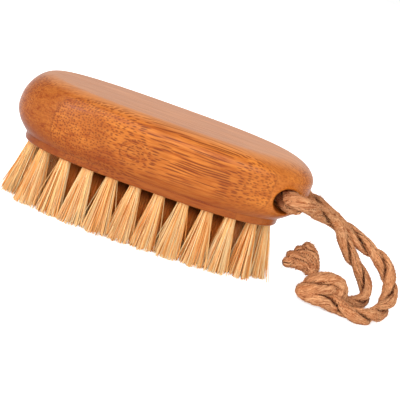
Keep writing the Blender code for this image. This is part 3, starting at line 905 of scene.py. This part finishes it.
def makeBambooMaterial():
    material, wires, shader = newMaterial("carbonisedBamboo", bamboo["finish"])
    m, add, less, times, over = wires.sums
    scaled = wires.scaled
    place = wires.inMillimetres()
    x, y, z = wires.separate(place)

    def slowly(stretch, detail=2):
        return wires.noise(place, stretch, detail)

    def zone(value, name):
        return scaled(value, *bamboo[name])

    # Laminations stand side by side across the block, every other one with its skin side turned
    across = over(add(y, times(less(slowly((0.03, 0.12, 0.12)), 0.5), 0.5)), bamboo["strip"])
    strip = m("FLOOR", across)
    inStrip = less(across, strip)
    skinward = m("ABSOLUTE", less(inStrip, m("FLOORED_MODULO", strip, 2)))
    smooth = m("COMPARE", m("FLOORED_MODULO", strip, 3), 2, 0.1)
    # The bundles run along X and slant more towards the ends, so the side cuts them shorter there
    plainBend, cordBend, ease = bamboo["bends"]
    along, atPlain, atCord = bamboo["slants"]
    slant = add(times(x, along), times(m("SMOOTH_MIN", less(x, plainBend), 0, ease), atPlain))
    slant = add(slant, times(m("SMOOTH_MAX", less(x, cordBend), 0, ease), atCord))
    # and they bow round the place where the culm had a joint
    knotX, knotZ = (
        over(less(value, middle), half)
        for value, middle, half in zip((x, z), bamboo["knotPlace"], bamboo["knotSize"])
    )
    knotRing = m("SQRT", add(times(knotX, knotX), times(knotZ, knotZ)))
    bowed = m("EXPONENT", times(knotRing, knotRing, -1))
    grain = add(y, add(times(bowed, bamboo["knotBow"]), times(slowly((0.1, 0.3, 0.3)), 0.7)))
    fall = add(z, times(less(slowly((0.05, 0.2, 0.2), 1), 0.5), 1.2))
    spacing = bamboo["bundleSpacing"]
    shiftX, shiftY, streakShift = (times(strip, shift) for shift in bamboo["stripShifts"])
    sectionX = add(over(add(grain, slant), spacing), shiftX)
    section = wires.combine(sectionX, add(over(fall, spacing), shiftY), 0)
    named = {"Vector": section, "Scale": 1, "Randomness": bamboo["scatter"]}
    cells = wires.put("ShaderNodeTexVoronoi", named, voronoi_dimensions="2D").outputs
    cellTone = wires.separate(cells["Color"])[0]
    size = times(scaled(skinward, 0, 1, *bamboo["bundleSize"]), scaled(cellTone, 0, 1, 0.72, 1.15))
    dots = scaled(over(cells["Distance"], size), 0.6, 1.25, 1, 0, True)
    # How strongly the bundles show: less on the skin side, on the top where a painted sheen fades them,
    # at both ends and low down
    plainEnd = zone(x, "plainEnd")
    ends = m("MAXIMUM", plainEnd, zone(x, "cordEnd"))
    strength = times(scaled(skinward, 0, 1, 1, 0.8), less(1, times(smooth, 0.6)))
    strength = times(strength, zone(z, "topSheenFade"), less(1, ends))
    strength = times(strength, scaled(z, *bamboo["lowBand"], zone(x, "lowFade"), 1))
    streakPlace = wires.combine(x, add(grain, streakShift), fall)
    streak, tone = streaksIn(wires, streakPlace, 1.4, 0.07, 0.06)
    # Rings of a scar on the plain side of the joint, broken up
    scar = times(scaled(m("PINGPONG", knotRing, 0.25), 0.03, 0.11, 0.75, 0), zone(x, "scarSide"))
    scar = times(scar, scaled(knotRing, 1.12, 1.2, 1, 0))
    broken = scaled(slowly((1.6, 1.6, 1.6)), 0.42, 0.56)
    scar = times(scar, broken, zone(y, "nearFace"))
    seam = scaled(m("MINIMUM", inStrip, less(1, inStrip)), 0, bamboo["seam"], 0.4, 0)
    endTone = m("MAXIMUM", zone(x, "endGrain"), times(bowed, 0.25))
    layers = [
        (scaled(streak, 0.36, 0.08, 0, 0.6), "deep"),
        (scaled(tone, 0.2, 0.9, 0, 0.35), "deep"),
        (times(plainEnd, 0.8), "deep"),
        (zone(x, "paleEnd"), "pale"),
        (endTone, "deep"),
        (zone(z, "lowTone"), "deep"),
        # painted sheen on the top face
        (zone(z, "paintedTopSheenFrom"), "paintedTopSheen"),
        (times(dots, strength), "bundle"),
        (scar, "bundle"),
        (seam, "glue"),
    ]
    ground = wires.mix(scaled(streak, 0.2, 0.8), bamboo["middle"], bamboo["pale"])
    paint(wires, shader, wires.layered(ground, bamboo, layers), scaled(streak, 0, 1, 0.48, 0.36))
    bumped(wires, shader, less(times(streak, 0.35), times(dots, 0.5)), *bamboo["bump"])
    return material


# Tufts: plant fibres, thin at the root, opening out to a trimmed end
tuft = {
    "fibres": 280,
    "rootRadius": 1.75 * mm,
    "tipRadius": 3.7 * mm,
    "tipVaries": (0.94, 1.05),
    "rowSpread": 1.18,  # the tips open wider along the rows than across them
    "rowEnds": 40 * mm,  # no such spread from here on
    "plainEndLean": 0.78,  # and less lean there, at the plain end
    "leanVaries": 0.3,  # in millimetres
    "fibreRadius": 0.16 * mm,
    "fibreVaries": (0.75, 1.2),
    "top": 24.8 * mm,  # the fold, at the bottom of the socket
    "mouth": 20.4 * mm,  # where the fibres leave the socket
    "opening": 0.94,  # below 1 the fibres spread sooner
    "bow": 0.32 * mm,
    "trim": 0.04 * mm,  # lowest tip above the ground
    "ragged": 1.6 * mm,
    "stray": 1.4 * mm,
    "tame": 0.87,  # share of the fibres that stray only a little
    "strays": (0.4, 1.9),  # how far the tame ones do, and what the others add
    "raggedPower": 2.4,  # above 1 fewer fibres end high
    "tipFill": 0.85,  # below 1 the tips crowd the tuft's edge
    "taper": 0.08,
    "points": 8,  # along a fibre
    "finish": {"Roughness": 0.5, "Specular IOR Level": 0.05, "Sheen Weight": 0.3, "Sheen Roughness": 0.5,
               "Sheen Tint": (1, 0.42, 0.08, 1)},
    "straw": tint(255, 202, 128),
    "pale": tint(255, 234, 184),
    "brown": tint(255, 162, 80),
    "dark": tint(176, 92, 34),  # one fibre in ten or so
    "root": tint(255, 194, 122),
    "warm": tint(255, 140, 48),  # painted shade on fibres inside a tuft and inside the rows
    "innerShade": tint(150, 62, 14),  # painted shade on the roots of the rows inside the outer one
    "padShadow": tint(44, 14, 2),  # painted shadow right against the pad
    "ring": (42.5, 16.9),  # half length and half width of the outer row, in millimetres
    # From and to in Z or X, then the strength at each, and True where it eases in
    "warmFrom": (3, 8, 0, 0.85, True),
    "innerShadeFrom": (12, 17, 0, 0.9, True),
    "padShadowFrom": (15, 18.6, 0, 0.97, True),
    "darkEnds": (-38, -18),  # the two painted shades fade out to the plain end
}
tuftInputs = (
    "rootRadius", "tipRadius", "rowSpread", "fibreRadius", "top", "mouth", "opening", "bow", "trim",
    "ragged", "stray", "tame",
)


def tuftTree():
    kinds = {"Vector": ["Root", "Lean"], "Int": ["Fibres", "Seed"]}
    wires, given = geometryTree("tuftOfFibres", "Start", Float=map(labelOf, tuftInputs), **kinds)
    m, add, less, times, over = wires.sums
    vector = wires.vector
    line = wires.shape("CurvePrimitiveLine", Start=(0, 0, 0), End=(0, 0, 1))
    line = wires.shape("ResampleCurve", Curve=line, Count=tuft["points"])
    many = wires.put("GeometryNodeDuplicateElements", {0: line}, Amount=given["Fibres"], domain="SPLINE")
    number = many.outputs["Duplicate Index"]
    down = wires.put("GeometryNodeSplineParameter").outputs["Factor"]

    def draw(shift, low=0, high=1):
        return wires.drawn(low, high, ID=number, Seed=add(given["Seed"], shift))

    def inDisk(radius, spread, turn):
        far = times(radius, spread)
        return wires.combine(times(far, m("COSINE", turn)), times(far, m("SINE", turn)), 0)

    def summed(*places):
        return reduce(partial(vector, "ADD"), places)

    # Where a fibre stands in the socket and where its tip goes
    spread = m("SQRT", draw(100))
    turn = draw(200, 0, math.tau)
    atRoot = inDisk(given["Root radius"], spread, turn)
    wide = wires.combine(given["Row spread"], over(1, given["Row spread"]), 1)
    far = m("POWER", spread, tuft["tipFill"])
    atTip = vector("MULTIPLY", inDisk(given["Tip radius"], far, turn), wide)
    wild = m("GREATER_THAN", draw(300), given["Tame"])
    little, more = tuft["strays"]
    loose = times(given["Stray"], add(little, times(wild, more)))
    astray = inDisk(loose, draw(400), draw(500, 0, math.tau))
    tip = summed(atTip, given["Lean"], astray)
    # How free of the socket every point is, and the bow in between
    low = add(times(given["Ragged"], m("POWER", draw(600), tuft["raggedPower"])), given["Trim"])
    level = add(times(given["Top"], less(1, down)), times(low, down))
    free = m("DIVIDE", less(given["Mouth"], level), less(given["Mouth"], low), clamp=True)
    opened = m("POWER", free, given["Opening"])
    bow = times(m("SINE", times(free, math.pi)), given["Bow"])
    bowed = inDisk(bow, draw(700, -1, 1), draw(800, 0, math.tau))
    ofRoot, ofTip = vector("SCALE", atRoot, Scale=less(1, opened)), vector("SCALE", tip, Scale=opened)
    x, y, _ = wires.separate(summed(ofRoot, ofTip, bowed, given["Root"]))
    place = wires.combine(x, y, level)
    placed = wires.shape("SetPosition", Geometry=many.outputs[0], Position=place)
    taper = less(1, times(down, tuft["taper"]))
    thick = times(given["Fibre radius"], draw(900, *tuft["fibreVaries"]), taper)
    kept = wires.shape("SetCurveRadius", Curve=placed, Radius=thick)
    # What the material reads of each fibre
    for name, value in (("fibreTone", draw(1000)), ("fibreDown", down), ("fibreDepth", less(1, spread))):
        kind = {"data_type": "FLOAT", "domain": "POINT"}
        kept = wires.shape("StoreNamedAttribute", Geometry=kept, Name=name, Value=value, **kind)
    tube = tubeAlong(wires, kept, 1, thick)
    soft = wires.shape("SetShadeSmooth", {"Geometry": tube, "Shade Smooth": True})
    return closeTree(wires, soft, given)


def makeFibreMaterial():
    material, wires, shader = newMaterial("strawFibre", tuft["finish"])
    m, scaled, times = wires.math, wires.scaled, wires.times
    tone, down, depth = (wires.stored(name) for name in ("fibreTone", "fibreDown", "fibreDepth"))
    x, y, z = wires.separate(wires.inMillimetres())
    streak, patch = streaksIn(wires, wires.combine(z, x, y), 5, 0.25, 0.12)
    # Painted shade: fibres inside the tufts and the rows are tinted a deep orange, and darker up at the
    # pad
    ringX, ringY = (
        m("POWER", wires.over(m("ABSOLUTE", value), half), block["exponent"])
        for value, half in zip((x, y), tuft["ring"])
    )
    # where the painted shade of the rows inside the outer one falls
    innerShade = scaled(wires.add(ringX, ringY), 0.74, 0.5)
    darker = times(innerShade, scaled(x, *tuft["darkEnds"]))
    layers = [
        (scaled(tone, 0.36, 0.05, 0, 0.8), "brown"),
        (scaled(streak, 0.6, 0.1, 0, 0.5), "brown"),
        (scaled(tone, 0.12, 0.06, 0, 0.7), "dark"),
        (scaled(down, 0.36, 0.18, 0, 0.5, True), "root"),
        # painted shade deep inside each tuft
        (times(scaled(depth, 0.2, 0.55, 0, 0.75), scaled(down, 0.95, 0.7)), "warm"),
        (times(innerShade, scaled(z, *tuft["warmFrom"])), "warm"),
        (times(darker, scaled(z, *tuft["innerShadeFrom"])), "innerShade"),
        (times(darker, scaled(z, *tuft["padShadowFrom"])), "padShadow"),
    ]
    ground = wires.mix(scaled(tone, 0.15, 0.95), tuft["straw"], tuft["pale"])
    paint(wires, shader, wires.layered(ground, tuft, layers), scaled(patch, 0, 1, 0.42, 0.6))
    return material


def tuftFacts(name):
    # Root centre and lean of one CAD tuft, from its own points
    points = np.array([v.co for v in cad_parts[name].data.vertices])
    above = points[points[:, 2] > block["foot"] - block["padHeight"] + 0.5 * mm]
    below = points[points[:, 2] < 0.5 * mm]
    root, tip = ((part[:, :2].min(0) + part[:, :2].max(0)) / 2 for part in (above, below))
    return root, tip - root


tuftNames = sorted(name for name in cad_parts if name.startswith("tuft_"))


def makeTufts():
    material = makeFibreMaterial()
    tree = tuftTree()
    chance = random.Random(7)
    varies = tuft["leanVaries"]
    for number, name in enumerate(tuftNames):
        root, lean = tuftFacts(name)
        lean = lean * (tuft["plainEndLean"] if root[0] < -tuft["rowEnds"] else 1)
        lean = [float(part) + chance.uniform(-varies, varies) * mm for part in lean]
        values = {**numbersOf(tuft, tuftInputs), "Fibres": tuft["fibres"], "Material": material}
        values.update({"Root": (*root.tolist(), 0), "Lean": (*lean, 0), "Seed": 10 + number * 17})
        values["Tip radius"] *= chance.uniform(*tuft["tipVaries"])
        values["Row spread"] = tuft["rowSpread"] if abs(root[0]) < tuft["rowEnds"] else 1
        title = name.replace("tuft_", "bristleTuft")
        addPiece(grow(title, tree, values), material, [name])


def makeBlock():
    material = makeBambooMaterial()
    tree = blockTree()
    start = bpy.data.meshes.new("socketPlaces")
    level = block["foot"] - block["padHeight"]
    start.from_pydata([(*tuftFacts(name)[0].tolist(), level) for name in tuftNames], [], [])
    cutter = makeBoreCutter()
    values = {**numbersOf(block, blockInputs), "Bore": cutter, "Material": material}
    addPiece(grow("handleBlock", tree, values, start), material, ["handle_block"])
    bpy.data.objects.remove(cutter)


makeBlock()
print("block made")
makeTufts()
print("tufts made")
